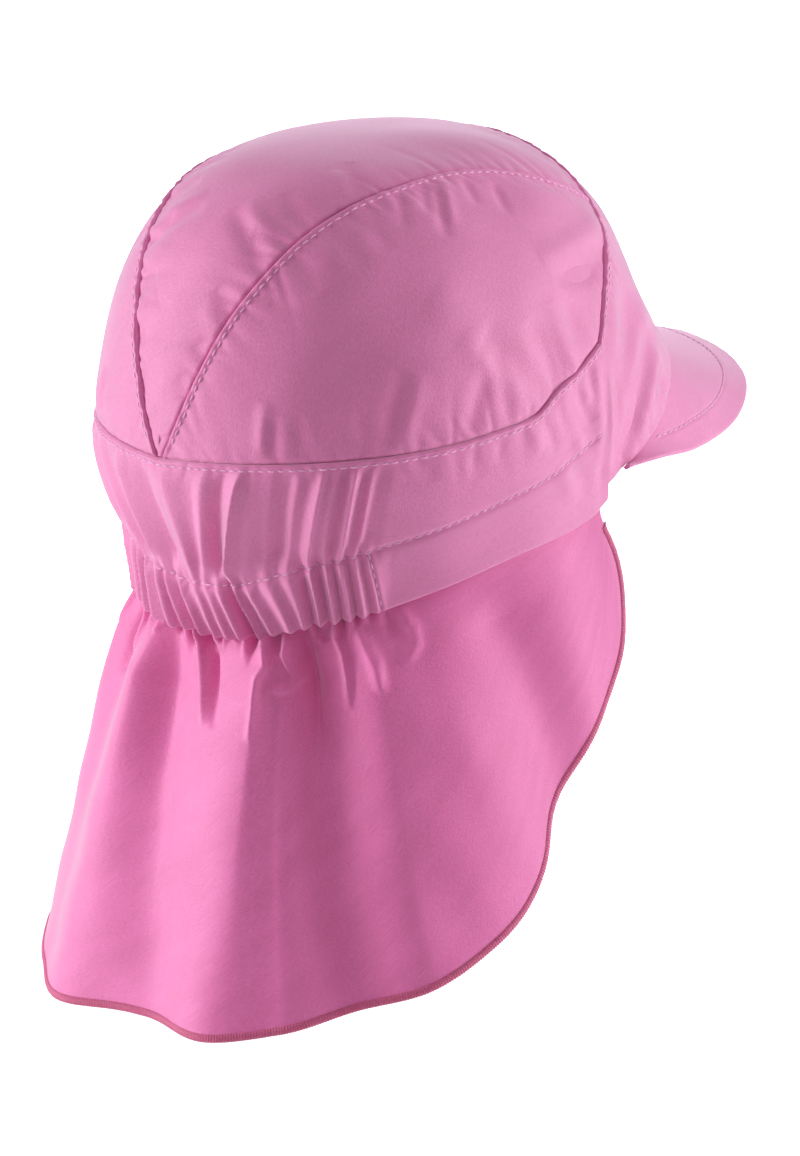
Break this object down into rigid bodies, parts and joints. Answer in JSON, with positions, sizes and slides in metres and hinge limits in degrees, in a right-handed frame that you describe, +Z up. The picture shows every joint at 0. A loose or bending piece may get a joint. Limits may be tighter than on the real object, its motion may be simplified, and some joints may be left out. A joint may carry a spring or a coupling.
{
  "type": "child's legionnaire cap",
  "caption": "Soft panelled sun cap with a short arched brim, a band gathered by elastic at the back, and a long cloth flap that shades the neck and ears.",
  "frame": {"origin": "middle of the head opening, level with the seam between the crown and the band at the centre back", "axes": "+Z up, the brim points to -Y, the wearer's right is -X"},
  "size_m": [0.1722, 0.2469, 0.2556],
  "materials": {
    "crown_cloth": "pink plain-woven cotton poplin, soft and matt",
    "flap_cloth": "pink plain-woven cotton poplin, one thin layer",
    "edging_thread": "dusky pink overlock thread"
  },
  "bodies": {
    "root": {"top_panel": "crown_cloth", "side_panel_right": "crown_cloth", "side_panel_left": "crown_cloth", "front_panel": "crown_cloth", "band": "crown_cloth", "brim": "crown_cloth", "neck_flap": "flap_cloth", "flap_edging": "edging_thread"}
  },
  "joints": []
}
